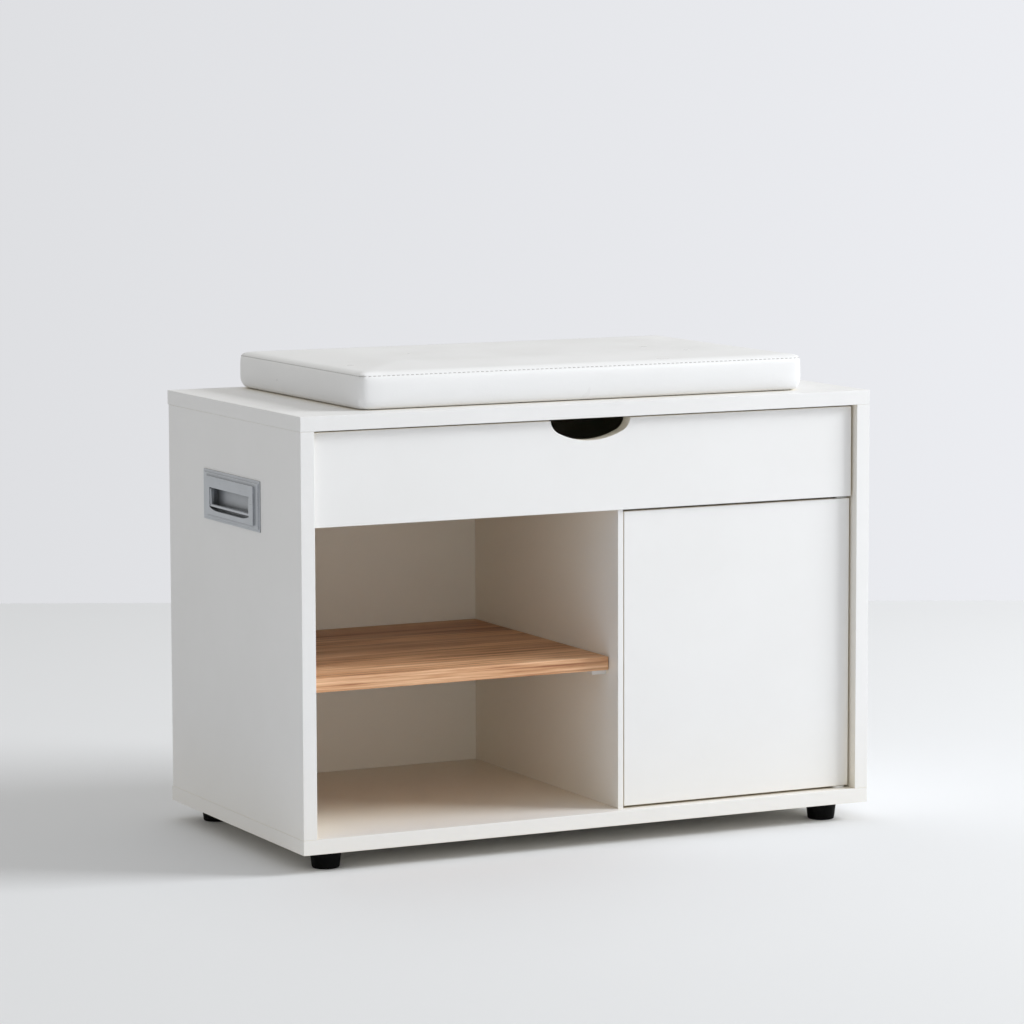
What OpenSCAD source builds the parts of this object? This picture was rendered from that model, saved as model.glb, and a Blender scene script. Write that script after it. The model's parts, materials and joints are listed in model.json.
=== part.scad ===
// Entryway bench: a low storage cabinet with a wide drawer, an open bay with a
// wooden shelf, a push-to-open door, flush side handles and a loose seat cushion.
// X runs left to right, Y from front to back, Z up; the origin is on the floor
// under the middle of the cabinet.

/* [Cabinet] */
// Overall width of the cabinet
width = 690; // [560:1:850]
// Overall depth of the cabinet, from front edges to back board
depth = 370; // [300:1:450]
// Height of the cabinet without feet and cushion
body_h = 464; // [380:1:560]
// Thickness of the white boards
board_t = 16; // [15:0.5:20]
// Thickness of the nailed back board
back_t = 3; // [2.5:0.5:5]
// How far the back board stops short of each side
back_inset = 1.5; // [1:0.5:4]
// Left face of the divider, from the middle of the cabinet
divider_x = 35; // [-40:1:80]

/* [Feet] */
// Height of the feet
foot_h = 21; // [15:1:40]
// Diameter of a foot at the top
foot_top_d = 35; // [28:1:45]
// Diameter of a foot at the floor
foot_low_d = 30; // [22:1:40]
// Foot centre, in from the side of the cabinet
foot_inset_x = 40; // [28:1:70]
// Foot centre, in from the front and back edges
foot_inset_y = 34; // [24:1:70]

/* [Drawer] */
// Height of the drawer front
drawer_front_h = 100.5; // [80:0.5:130]
// Thickness of the drawer front
drawer_front_t = 16; // [15:0.5:20]
// How far the drawer front sits behind the cabinet's front edges
drawer_setback = 8.5; // [4:0.5:12]
// Gap at each end of the drawer
drawer_gap = 2.4; // [1.5:0.1:4]
// Gap above the drawer front
drawer_top_gap = 2; // [1.5:0.5:4]
// Thickness of the drawer's sides and back
drawer_side_t = 12; // [10:0.5:15]
// Height of the drawer's sides
drawer_side_h = 62; // [50:1:80]
// Gap between the drawer's box and the back board
drawer_back_gap = 24.5; // [8:0.5:100]
// Thickness of the drawer's bottom
drawer_bottom_t = 3; // [2.5:0.5:5]
// How far the drawer pulls out
drawer_travel = 250; // [150:1:260]
// Half width of the finger cut-out
cutout_half_w = 48.5; // [30:0.5:70]
// Depth of the finger cut-out below the top panel
cutout_drop = 25; // [20:0.5:34]
// Radius at the two ends of the finger cut-out
cutout_end_r = 18; // [10:0.5:20]

/* [Drawer rails] */
// Thickness of a rail, out from the side panel
rail_t = 7; // [5:0.5:9]
// Height of a rail
rail_h = 15; // [10:0.5:20]
// Gap between a rail and the back board
rail_back_gap = 24; // [8:0.5:100]
// Running clearance of the rail in its groove
rail_play = 0.3; // [0.2:0.1:1]

/* [Door] */
// Thickness of the door
door_t = 16; // [15:0.5:20]
// How far the door sits behind the cabinet's front edges
door_setback = 12; // [10:0.5:16]
// Gap between the door and the right side panel
door_side_gap = 2.3; // [2.2:0.1:4]
// Gap below the door
door_low_gap = 2.5; // [2.4:0.1:5]
// Gap between the door and the drawer front
door_top_gap = 2.5; // [2.5:0.1:5]
// Width of the divider's edge that shows beside the door
divider_strip = 6.6; // [5:0.1:10]
// Gap between the door's free edge and the divider's step
door_free_gap = 1; // [0.6:0.1:3]
// Pivot axis, in from the door's right edge
pivot_inset = 10; // [8:0.5:14]
// Pivot axis, behind the door's front face
pivot_depth = 6; // [5:0.5:8]
// Diameter of the pivot pins
pivot_d = 6; // [4:0.5:8]
// Radial running clearance of the pivot pins
pivot_play = 0.05; // [0.01:0.01:0.1]

/* [Shelf] */
// Thickness of the wooden shelf
shelf_t = 15; // [12:0.5:22]
// Top of the shelf above the cabinet's bottom panel
shelf_level = 166; // [100:1:240]
// Front of the shelf, behind the cabinet's front edges
shelf_setback = 32; // [20:1:80]
// Gap round the shelf
shelf_gap = 1; // [0.5:0.1:3]

/* [Handles] */
// Length of the handle plate
plate_l = 156; // [130:1:190]
// Height of the handle plate
plate_h = 55; // [50:1:70]
// Centre of the handle plate, below the top of the cabinet
plate_drop = 105; // [90:1:140]
// Thickness of the plate's flange
flange_t = 1.3; // [1:0.1:2]
// How far the plate's middle field stands out
field_t = 4.3; // [3:0.1:5]
// Depth of the recess behind the field
recess_depth = 10; // [8:0.5:11]
// Length of the recess
recess_l = 110; // [90:1:120]
// Thickness of the swinging bail
bail_t = 4; // [3:0.5:4]
// Radial running clearance of the bail's pins
bail_play = 0.05; // [0.01:0.01:0.1]

/* [Cushion] */
// Length of the cushion
cushion_l = 542; // [400:1:640]
// Width of the cushion, front to back
cushion_w = 334; // [260:1:360]
// Thickness of the cushion
cushion_t = 42; // [30:1:70]
// Cushion's middle, right of the cabinet's middle
cushion_shift = 8; // [-20:1:20]
// Front of the cushion, behind the cabinet's front edges
cushion_setback = 31; // [5:1:60]

/* [Hidden] */

// Cabinet levels and faces
base_z = foot_h;
bay_z = base_z + board_t;
top_z = base_z + body_h;
ceiling_z = top_z - board_t;
inner_x = width / 2 - board_t;
side_mid_x = width / 2 - board_t / 2;
side_d = depth - back_t;
divider_mid_x = divider_x + board_t / 2;
fit_gap = 0.3;

// Drawer, door and fixed shelf between them
drawer_z = ceiling_z - drawer_top_gap - drawer_front_h;
drawer_half = inner_x - drawer_gap;
mid_drop = 0.5;
mid_z = drawer_z - mid_drop;
mid_top = mid_z + board_t;
mid_setback = drawer_setback + drawer_front_t + 1.5;
box_y = drawer_setback + drawer_front_t;
drawer_box_d = side_d - drawer_back_gap - box_y;
box_z = mid_top + 4;
bottom_rise = 8;
bottom_play = 0.1;
bottom_bite = 6;
door_z = bay_z + door_low_gap;
door_top = drawer_z - door_top_gap;
door_left = divider_x + divider_strip + door_free_gap;
door_right = inner_x - door_side_gap;
door_back = door_setback + door_t;
pivot_x = door_right - pivot_inset;
pivot_y = door_setback + pivot_depth;

// Rails: the groove in the drawer's side runs on the rail
rail_z = box_z + drawer_side_h / 2;
groove_h = rail_h + 2 * rail_play;
groove_t = rail_t - drawer_gap + 1;
rail_y = mid_setback + 1;
rail_len = side_d - rail_back_gap - rail_y;
rail_screw_y = [0.12, 0.5, 0.88];
rail_screw_l = 16;
bottom_top = box_z + bottom_rise + drawer_bottom_t + bottom_play;
drawer_low_room = rail_z - groove_h / 2 - bottom_top;
drawer_low_z = bottom_top + drawer_low_room / 2;
drawer_high_z = (box_z + drawer_side_h + rail_z + groove_h / 2) / 2;

// Fasteners, by their places along the depth
cam_y = [70, depth - 70];
base_y = [55, depth - 60];
dowel_y = [110, depth - 112];
mid_cam_y = [58, depth - 58];
divider_screw_y = [80, depth - 70];
cam_reach = 34;
cam_r = 7.5;
bolt_r = 3;
cam_cover = 1.5;
cam_deep = board_t / 2 + bolt_r + cam_cover;
drawer_cam_deep = drawer_side_t / 2 + bolt_r + 1;
bolt_bite = 10;
dowel_r = 4;
dowel_bite = 10;
dowel_l = 30;
drawer_web = 1;
drawer_dowel_r = min(3, drawer_low_room / 2 - drawer_web);
screw_r = 2.5;
screw_l = 50;
head_r = 4.75;
head_h = 4;
small_screw_r = 1.75;
small_head_r = 3.5;
small_head_h = 2.5;
drawer_head_r = min(small_head_r, drawer_low_room / 2 - drawer_web);
drawer_screw_l = 35;
nail_r = 0.75;
nail_l = 18;
nail_head_r = 2;
nail_head_t = 0.4;

// Push latch behind the door's free edge
latch_x = door_left + 40;
latch_w = 14;
latch_h = 18;
latch_l = 62;
latch_y = door_back + 5;
latch_r = 4;
latch_play = 0.1;
latch_z = mid_z - 12;
plunger_l = 42;
plunger_stroke = 3;
strike_r = 7;
strike_t = 1;
flange_w = 36;
latch_flange_t = 2.5;
latch_flange_l = 26;
latch_screw_x = 12.5;
latch_screw_l = 13;
latch_end_t = 3;
spring_y = door_back + fit_gap + plunger_l;
spring_end = latch_y + latch_l - latch_end_t;

// Handle plate, drawn with X along its length, Y up and Z out of the panel
handle_z = top_z - plate_drop;
step_in = 3;
step_t = 2.3;
field_in_x = 12;
field_in_y = 6.5;
open_top = 8.8;
open_low = -12.8;
scoop_low = -16;
scoop_flat = 33;
cup_wall = 1.5;
cup_floor = field_t - recess_depth;
pocket_gap = 0.4;
post_x = 67;
post_y = 14;
post_r = 4;
post_l = 7;
handle_screw_r = 2;
handle_head_r = 4;
bail_front = field_t - 0.8;
bail_mid = bail_front - bail_t / 2;
bail_axis = open_top - bail_t / 2 - 0.5;
bail_arm = 3;
bail_grip_h = 2.8;
bail_gap = 0.35;
bail_pin_r = 1;
grip_low = open_low + 0.5;

// Cushion
cover_t = 1.2;
cushion_r = 14;

function in_y(d) = d - depth / 2;
function sides() = [-1, 1];

// A board between two corners, its depths counted from the cabinet's front edges
module board(x0, x1, d0, d1, z0, z1) {
  translate([x0, in_y(d0), z0]) cube([x1 - x0, d1 - d0, z1 - z0]);
}

module upright(x, d, z, r, h) {
  translate([x, in_y(d), z]) cylinder(r = r, h = h, $fn = 48);
}

// A cylinder along X: towards +X for a positive length
module across(x, d, z, r, l) {
  translate([l < 0 ? x + l : x, in_y(d), z]) rotate([0, 90, 0]) cylinder(r = r, h = abs(l), $fn = 48);
}

// A cylinder along Y, going back from depth d
module along(x, d, z, r, l) {
  translate([x, in_y(d), z]) rotate([-90, 0, 0]) cylinder(r = r, h = l, $fn = 48);
}

// Countersunk screw with its head's face at the origin, going up
module screw(r, l, hr, hh) {
  rotate_extrude($fn = 48)
    polygon([[0, 0], [hr, 0], [hr, 0.6], [r, hh], [r, l - r], [0, l]]);
}

// Fasteners, each in its own colour
module base_screws() {
  color("silver") base_screw_set();
}

module mid_panel_screws() {
  color("silver") mid_screw_set();
}

module foot_screws() {
  color("silver") foot_screw_set();
}

module wood_dowels() {
  color("burlywood") dowel_set();
}

module cam_bolts() {
  color("silver") {
    top_bolt_set();
    mid_bolt_set();
  }
}

module back_nails() {
  color("silver") nail_set();
}

module rail_screws() {
  color("silver") for (s = sides()) rail_screw_set(s);
}

module drawer_cam_bolts() {
  color("silver") drawer_bolt_set();
}

module drawer_dowels() {
  color("burlywood") drawer_dowel_set();
}

module drawer_back_screws() {
  color("silver") drawer_back_screw_set();
}

module pivot_plate_screws() {
  color("silver") pivot_plate_screw_set();
}

module latch_screws() {
  color("silver") latch_screw_set();
}

// Places of the fasteners, which are cut out of the boards that they hold
module base_screw_set() {
  for (x = [-side_mid_x, divider_mid_x, side_mid_x], d = base_y)
    translate([x, in_y(d), base_z]) screw(screw_r, screw_l, head_r, head_h);
}

module mid_screw_set() {
  for (d = divider_screw_y)
    translate([divider_mid_x, in_y(d), mid_top]) mirror([0, 0, 1])
      screw(screw_r, screw_l, head_r, head_h);
}

module dowel_set() {
  for (s = sides(), d = dowel_y)
    upright(s * side_mid_x, d, ceiling_z + dowel_bite - dowel_l, dowel_r, dowel_l);
  for (x = [-side_mid_x, divider_mid_x, side_mid_x], d = dowel_y)
    upright(x, d, bay_z - dowel_bite, dowel_r, dowel_l);
}

module top_bolt_set() {
  for (s = sides(), d = cam_y)
    upright(s * side_mid_x, d, ceiling_z - cam_reach, bolt_r, cam_reach + bolt_bite);
}

module mid_bolt_set() {
  for (s = sides(), d = mid_cam_y)
    across(s * (inner_x - cam_reach), d, mid_z + board_t / 2, bolt_r, s * (cam_reach + bolt_bite));
}

module top_cam_holes() {
  for (s = sides(), d = cam_y)
    across(s * inner_x, d, ceiling_z - cam_reach, cam_r, s * cam_deep);
}

module mid_cam_holes() {
  for (s = sides(), d = mid_cam_y)
    upright(s * (inner_x - cam_reach), d, mid_top - cam_deep, cam_r, cam_deep);
}

module nail_set() {
  rise = (ceiling_z - bay_z) / 4;
  for (x = [-side_mid_x, side_mid_x], k = [0.4, 2, 3.6])
    nail(x, bay_z + k * rise);
  for (k = [0.5, 1.5])
    nail(divider_mid_x, bay_z + k * rise);
  for (s = sides())
    nail(s * inner_x / 2, mid_z + board_t / 2);
}

module nail(x, z) {
  along(x, depth - nail_l, z, nail_r, nail_l - nail_head_t);
  along(x, depth - nail_head_t, z, nail_head_r, nail_head_t);
}

module rail_screw_set(s) {
  for (k = rail_screw_y)
    translate([s * (inner_x - rail_t), in_y(rail_y + k * rail_len), rail_z])
      rotate([0, s * 90, 0]) screw(small_screw_r, rail_screw_l, small_head_r, small_head_h);
}

module handle_post_holes(s) {
  for (p = sides()) {
    across(s * (width / 2 - post_l - pocket_gap), depth / 2 + p * post_x, handle_z + post_y,
      post_r + pocket_gap, s * (post_l + pocket_gap + 1));
    translate([s * inner_x, in_y(depth / 2 + p * post_x), handle_z + post_y])
      rotate([0, s * 90, 0]) handle_screw();
  }
}

module handle_screw() {
  screw(handle_screw_r, board_t - 2, handle_head_r, small_head_h);
}

// Cabinet
module top_panel() {
  color("white") difference() {
    board(-width / 2, width / 2, 0, depth, ceiling_z, top_z);
    top_bolt_set();
    dowel_set();
  }
}

module bottom_panel() {
  color("white") difference() {
    board(-width / 2, width / 2, 0, depth, base_z, bay_z);
    base_screw_set();
    dowel_set();
    foot_screw_set();
    upright(pivot_x, pivot_y, bay_z - bush_deep, bush_r, bush_deep + 1);
  }
}

module side_panel(s) {
  difference() {
    board(min(s * inner_x, s * width / 2), max(s * inner_x, s * width / 2), 0, side_d,
      bay_z, ceiling_z);
    base_screw_set();
    dowel_set();
    top_bolt_set();
    top_cam_holes();
    mid_bolt_set();
    nail_set();
    rail_screw_set(s);
    place_handle(s) translate([0, 0, cup_floor - cup_wall - pocket_gap])
      linear_extrude(recess_depth + cup_wall) cup_outline(pocket_gap);
    handle_post_holes(s);
    if (s < 0) for (d = shelf_pin_d) across(-inner_x, d, shelf_pin_z, shelf_pin_r, -shelf_pin_l);
  }
}

module divider_panel() {
  color("white") difference() {
    board(divider_x, divider_x + board_t, door_setback, side_d, bay_z, mid_z);
    board(divider_x + divider_strip, divider_x + board_t + 1, door_setback - 1,
      door_back + 4, bay_z - 1, mid_z + 1);
    base_screw_set();
    mid_screw_set();
    dowel_set();
    nail_set();
    for (d = shelf_pin_d) across(divider_x, d, shelf_pin_z, shelf_pin_r, shelf_pin_l);
  }
}

module mid_panel() {
  color("white") difference() {
    board(-inner_x, inner_x, mid_setback, side_d, mid_z, mid_top);
    mid_screw_set();
    mid_bolt_set();
    mid_cam_holes();
    nail_set();
    pivot_plate_screw_set();
    latch_screw_set();
  }
}

module back_panel() {
  color("white") difference() {
    board(back_inset - width / 2, width / 2 - back_inset, side_d, depth,
      bay_z + fit_gap, ceiling_z - fit_gap);
    nail_set();
  }
}

// Shelf and its four pins
shelf_pin_r = 2.5;
shelf_pin_l = 10;
shelf_pad_l = 17;
shelf_pad_w = 12;
shelf_pad_t = 4;
shelf_z = bay_z + shelf_level - shelf_t;
shelf_pin_z = shelf_z - shelf_pin_r;
shelf_pin_d = [shelf_setback + 14, side_d - 44];

module wood_shelf() {
  color("peru") board(shelf_gap - inner_x, divider_x - shelf_gap, shelf_setback,
    side_d - shelf_gap, shelf_z, shelf_z + shelf_t);
}

module shelf_pins() {
  color("gainsboro") for (d = shelf_pin_d, s = sides()) {
    face = s < 0 ? -inner_x : divider_x;
    across(face, d, shelf_pin_z, shelf_pin_r, s * shelf_pin_l);
    board(min(face, face - s * shelf_pad_l), max(face, face - s * shelf_pad_l),
      d - shelf_pad_w / 2, d + shelf_pad_w / 2, shelf_z - shelf_pad_t - shelf_pin_r / 2, shelf_z);
  }
}

// Feet
foot_x = width / 2 - foot_inset_x;
foot_screw_r = 2;
foot_head_r = 4.5;
foot_seat = 12;

module foot(sx, sy) {
  translate([sx * foot_x, sy * (depth / 2 - foot_inset_y), 0])
    rotate_extrude($fn = 96) difference() {
      union() {
        polygon([[0, 0], [foot_low_d / 2 - 2, 0], [foot_low_d / 2, 2], [foot_top_d / 2 - 0.3, foot_h - 2],
          [foot_top_d / 2, foot_h - 1.5], [foot_top_d / 2, foot_h], [0, foot_h]]);
        translate([foot_low_d / 2 - 2, 2]) circle(r = 2, $fn = 32);
      }
      translate([-1, -1]) square([foot_head_r + 2, foot_seat + 1]);
      translate([-1, 0]) square([foot_screw_r + 1, foot_h + 1]);
    }
}

module foot_screw_set() {
  for (sx = sides(), sy = sides())
    translate([sx * foot_x, sy * (depth / 2 - foot_inset_y), foot_seat]) {
      cylinder(r = foot_screw_r, h = foot_h - foot_seat + board_t - 3, $fn = 48);
      translate([0, 0, -2.4]) cylinder(r = foot_head_r, h = 2.4, $fn = 48);
    }
}

// Drawer
cutout_x = cutout_half_w - cutout_end_r;
cutout_rise = (cutout_x * cutout_x - pow(cutout_drop - cutout_end_r, 2))
  / (2 * (cutout_drop - cutout_end_r));
cutout_mid_r = cutout_drop + cutout_rise;

// Three arcs that meet smoothly, centred on the underside of the top panel
module cutout_outline() {
  for (s = sides()) translate([s * cutout_x, 0]) circle(r = cutout_end_r, $fn = 96);
  intersection() {
    translate([0, cutout_rise]) circle(r = cutout_mid_r, $fn = 192);
    polygon([[0, cutout_rise], [-3 * cutout_x, -2 * cutout_rise], [3 * cutout_x, -2 * cutout_rise]]);
  }
}

module drawer_bottom_space(play) {
  board(-drawer_half + drawer_side_t - bottom_bite + play, drawer_half - drawer_side_t + bottom_bite - play,
    box_y - bottom_bite + play, box_y + drawer_box_d + 1, box_z + bottom_rise - bottom_play + play,
    box_z + bottom_rise + drawer_bottom_t + bottom_play - play);
}

module drawer_bolt_set() {
  for (s = sides())
    along(s * (drawer_half - drawer_side_t / 2), box_y - bolt_bite, drawer_high_z, bolt_r,
      cam_reach + bolt_bite);
}

module drawer_dowel_set() {
  for (s = sides())
    along(s * (drawer_half - drawer_side_t / 2), box_y - dowel_bite, drawer_low_z,
      drawer_dowel_r, dowel_l);
}

module drawer_cam_holes() {
  for (s = sides())
    across(s * (drawer_half - drawer_side_t), box_y + cam_reach, drawer_high_z, cam_r,
      s * drawer_cam_deep);
}

module drawer_back_screw_set() {
  for (s = sides(), z = [drawer_low_z, drawer_high_z])
    translate([s * drawer_half, in_y(box_y + drawer_box_d - drawer_side_t / 2), z])
      rotate([0, -s * 90, 0])
        screw(small_screw_r, drawer_screw_l, drawer_head_r, small_head_h);
}

module drawer_front() {
  color("white") difference() {
    board(-drawer_half, drawer_half, drawer_setback, box_y, drawer_z, drawer_z + drawer_front_h);
    translate([0, in_y(box_y + 1), ceiling_z]) rotate([90, 0, 0])
      linear_extrude(drawer_front_t + 2) cutout_outline();
    drawer_bottom_space(0);
    drawer_bolt_set();
    drawer_dowel_set();
  }
}

module drawer_side(s) {
  difference() {
    board(min(s * drawer_half, s * (drawer_half - drawer_side_t)),
      max(s * drawer_half, s * (drawer_half - drawer_side_t)),
      box_y, box_y + drawer_box_d, box_z, box_z + drawer_side_h);
    board(min(s * (drawer_half - groove_t), s * (drawer_half + 1)),
      max(s * (drawer_half - groove_t), s * (drawer_half + 1)),
      box_y - 1, box_y + drawer_box_d + 1, rail_z - groove_h / 2, rail_z + groove_h / 2);
    drawer_bottom_space(0);
    drawer_bolt_set();
    drawer_dowel_set();
    drawer_cam_holes();
    drawer_back_screw_set();
  }
}

module drawer_back() {
  color("white") difference() {
    board(drawer_side_t - drawer_half, drawer_half - drawer_side_t,
      box_y + drawer_box_d - drawer_side_t, box_y + drawer_box_d,
      bottom_top, box_z + drawer_side_h);
    drawer_back_screw_set();
  }
}

module drawer_bottom() {
  color("whitesmoke") intersection() {
    drawer_bottom_space(bottom_play);
    board(-drawer_half, drawer_half, drawer_setback, box_y + drawer_box_d, box_z, top_z);
  }
}

module rail(s) {
  difference() {
    translate([s * (inner_x - rail_t / 2), in_y(rail_y), rail_z]) rotate([-90, 0, 0])
      linear_extrude(rail_len) square([rail_t, rail_h], center = true);
    rail_screw_set(s);
  }
}

// Door
pin_bite = 24;
pin_low_reach = 9;
pin_top_gap = 0.3;
plate_t = 1.5;
pivot_plate_r = 9;
pivot_plate_back = 32;
pivot_screw_d = [9, 23];
pivot_screw_l = 14;
bush_r = 5;
bush_deep = 11;
bush_flange_r = 7.5;
bush_flange_t = door_low_gap - fit_gap;

module pivot_pin(z, l) {
  color("silver") upright(pivot_x, pivot_y, z, pivot_d / 2, l);
}

module door_panel() {
  color("white") difference() {
    board(door_left, door_right, door_setback, door_back, door_z, door_top);
    upright(pivot_x, pivot_y, door_top - pin_bite, pivot_d / 2, pin_bite + 1);
    upright(pivot_x, pivot_y, door_z - 1, pivot_d / 2, pin_bite + 1);
    along(latch_x, door_back - strike_t, latch_z, strike_r, strike_t + 1);
  }
}

module door_top_pin() {
  pivot_pin(door_top - pin_bite, pin_bite + door_top_gap - pin_top_gap);
}

module door_bottom_pin() {
  pivot_pin(bay_z - pin_low_reach, pin_bite + door_low_gap + pin_low_reach);
}

module door_strike_plate() {
  color("silver") along(latch_x, door_back - strike_t, latch_z, strike_r, strike_t);
}

module pivot_plate() {
  color("silver") difference() {
    union() {
      board(pivot_x - pivot_plate_r, pivot_x + pivot_plate_r, pivot_y,
        mid_setback + pivot_plate_back, mid_z - plate_t, mid_z);
      upright(pivot_x, pivot_y, mid_z - plate_t, pivot_plate_r, plate_t);
    }
    upright(pivot_x, pivot_y, mid_z - plate_t - 1, pivot_d / 2 + pivot_play, plate_t + 2);
    pivot_plate_screw_set();
    board(pivot_x - pivot_plate_r - 1, pivot_x + pivot_plate_r + 1, 0, door_setback,
      mid_z - plate_t - 1, mid_z + 1);
  }
}

module pivot_plate_screw_set() {
  for (d = pivot_screw_d)
    translate([pivot_x, in_y(mid_setback + d), mid_z - plate_t])
      screw(small_screw_r, pivot_screw_l, small_head_r, plate_t);
}

module pivot_bush() {
  color("gainsboro") difference() {
    union() {
      upright(pivot_x, pivot_y, bay_z - bush_deep, bush_r, bush_deep);
      upright(pivot_x, pivot_y, bay_z, bush_flange_r, bush_flange_t);
    }
    upright(pivot_x, pivot_y, bay_z - bush_deep + 1, pivot_d / 2 + pivot_play, bush_deep + door_low_gap);
  }
}

// Push latch
module latch_housing() {
  color("gainsboro") difference() {
    union() {
      board(latch_x - latch_w / 2, latch_x + latch_w / 2, latch_y, latch_y + latch_l, mid_z - latch_h, mid_z);
      board(latch_x - flange_w / 2, latch_x + flange_w / 2, latch_y + latch_l / 2 - latch_flange_l / 2,
        latch_y + latch_l / 2 + latch_flange_l / 2, mid_z - latch_flange_t, mid_z);
    }
    along(latch_x, latch_y - 1, latch_z, latch_r + latch_play, spring_end - latch_y + 1);
    latch_screw_set();
  }
}

module latch_plunger() {
  color("dimgray") along(latch_x, door_back + fit_gap, latch_z, latch_r, plunger_l);
}

module latch_screw_set() {
  for (s = sides())
    translate([latch_x + s * latch_screw_x, in_y(latch_y + latch_l / 2), mid_z - latch_flange_t])
      screw(small_screw_r, latch_screw_l, small_head_r, latch_flange_t - fit_gap);
}

// Coil spring between the plunger and the housing's end
spring_turns = 5;
spring_wire = 0.5;
spring_r = 2.8;
spring_steps = 14;
spring_sides = 6;
spring_rings = spring_turns * spring_steps;
spring_len = spring_end - spring_y - 2 * spring_wire;

function spring_point(i, j) =
  let (turn = 360 * i / spring_steps, around = 360 * j / spring_sides,
    r = spring_r + spring_wire * cos(around))
  [r * cos(turn), spring_wire * sin(around) + spring_len * i / spring_rings, r * sin(turn)];

module latch_spring() {
  n = spring_sides;
  points = [for (i = [0:spring_rings], j = [0:n - 1]) spring_point(i, j)];
  walls = [for (i = [0:spring_rings - 1], j = [0:n - 1])
    [i * n + j, i * n + (j + 1) % n, (i + 1) * n + (j + 1) % n, (i + 1) * n + j]];
  ends = [[for (j = [n - 1:-1:0]) j], [for (j = [0:n - 1]) spring_rings * n + j]];
  color("silver") translate([latch_x, in_y(spring_y + spring_wire), latch_z])
    polyhedron(points, concat(walls, ends));
}

// Handles
module place_handle(s) {
  translate([s * width / 2, 0, handle_z]) rotate([90, 0, s * 90]) children();
}

module cup_outline(grow) {
  translate([-recess_l / 2 - cup_wall - grow, scoop_low - cup_wall - grow])
    square([recess_l + 2 * (cup_wall + grow), open_top - scoop_low + 2 * (cup_wall + grow)]);
}

// Opening with a finger scoop that runs out towards its ends
module opening_outline() {
  half = recess_l / 2;
  scoop_run = half - scoop_flat;
  scoop_drop = open_low - scoop_low;
  scoop_r = (scoop_run * scoop_run + scoop_drop * scoop_drop) / (2 * scoop_drop);
  translate([-half, open_low]) square([recess_l, open_top - open_low]);
  translate([-scoop_flat, scoop_low]) square([2 * scoop_flat, scoop_drop + 1]);
  for (s = sides()) intersection() {
    translate([s * scoop_flat, scoop_low + scoop_r]) circle(r = scoop_r, $fn = 192);
    translate([s > 0 ? scoop_flat : -half, scoop_low]) square([scoop_run, scoop_drop + 1]);
  }
}

module layer(inset_x, inset_y, z0, z1) {
  translate([inset_x - plate_l / 2, inset_y - plate_h / 2, z0])
    cube([plate_l - 2 * inset_x, plate_h - 2 * inset_y, z1 - z0]);
}

module handle_plate(s) {
  place_handle(s) difference() {
    union() {
      layer(0, 0, 0, flange_t);
      layer(step_in, step_in, flange_t, step_t);
      layer(field_in_x, field_in_y, step_t, field_t);
      translate([0, 0, cup_floor - cup_wall]) linear_extrude(cup_wall - cup_floor) cup_outline(0);
      for (p = sides()) translate([p * post_x, post_y, -post_l]) cylinder(r = post_r, h = post_l, $fn = 48);
    }
    translate([0, 0, cup_floor]) linear_extrude(recess_depth + 1) opening_outline();
    for (p = sides()) translate([p * (recess_l / 2 + cup_wall / 2), bail_axis, bail_mid])
      rotate([0, 90, 0]) cylinder(r = bail_pin_r, h = cup_wall, center = true, $fn = 48);
    for (p = sides()) translate([p * post_x, post_y, -post_l - 1])
      cylinder(r = handle_screw_r, h = post_l + 1, $fn = 48);
  }
}

module handle_bail(s) {
  half = recess_l / 2 - bail_gap;
  place_handle(s) difference() {
    union() {
      translate([-half, grip_low, bail_mid - bail_t / 2]) cube([2 * half, bail_grip_h, bail_t]);
      for (p = sides()) {
        translate([p > 0 ? half - bail_arm : -half, grip_low, bail_mid - bail_t / 2])
          cube([bail_arm, bail_axis - grip_low, bail_t]);
        translate([p * (half - bail_arm / 2), bail_axis, bail_mid]) rotate([0, 90, 0])
          cylinder(r = bail_t / 2, h = bail_arm, center = true, $fn = 48);
      }
    }
    for (p = sides()) translate([p * (half - bail_arm / 2), bail_axis, bail_mid])
      rotate([0, 90, 0]) cylinder(r = bail_pin_r + bail_play, h = bail_arm + 1, center = true, $fn = 48);
  }
}

module handle_pins(s) {
  pin_l = bail_arm + bail_gap + cup_wall;
  place_handle(s) for (p = sides())
    translate([p * (recess_l / 2 + cup_wall - pin_l / 2), bail_axis, bail_mid])
      rotate([0, 90, 0]) cylinder(r = bail_pin_r, h = pin_l, center = true, $fn = 48);
}

module handle_screws() {
  color("silver") for (s = sides(), p = sides())
    translate([s * inner_x, in_y(depth / 2 + p * post_x), handle_z + post_y])
      rotate([0, s * 90, 0]) handle_screw();
}

// Cushion
module cushion_block(inset) {
  l = cushion_l - 2 * inset;
  w = cushion_w - 2 * inset;
  r = cushion_r - inset;
  translate([cushion_shift - l / 2, in_y(cushion_setback) + inset, top_z + inset])
    linear_extrude(cushion_t - 2 * inset) union() {
      translate([r, 0]) square([l - 2 * r, w]);
      translate([0, r]) square([l, w - 2 * r]);
      for (x = [r, l - r], y = [r, w - r]) translate([x, y]) circle(r = r, $fn = 64);
    }
}

module cushion_cover() {
  color("white") difference() {
    cushion_block(0);
    cushion_block(cover_t);
  }
}

module cushion_foam() {
  color("beige") cushion_block(cover_t);
}

// Discs and rods that lock the boards together
module cam_discs() {
  color("silver") difference() {
    union() {
      top_cam_holes();
      mid_cam_holes();
    }
    top_bolt_set();
    mid_bolt_set();
  }
}

module drawer_cam_discs() {
  color("silver") difference() {
    drawer_cam_holes();
    drawer_bolt_set();
  }
}

top_panel();
bottom_panel();// Left and right pieces
module left_side_panel() {
  color("white") side_panel(-1);
}

module right_side_panel() {
  color("white") side_panel(1);
}

module foot_front_left() {
  color("#1c1c1c") foot(-1, -1);
}

module foot_front_right() {
  color("#1c1c1c") foot(1, -1);
}

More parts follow.
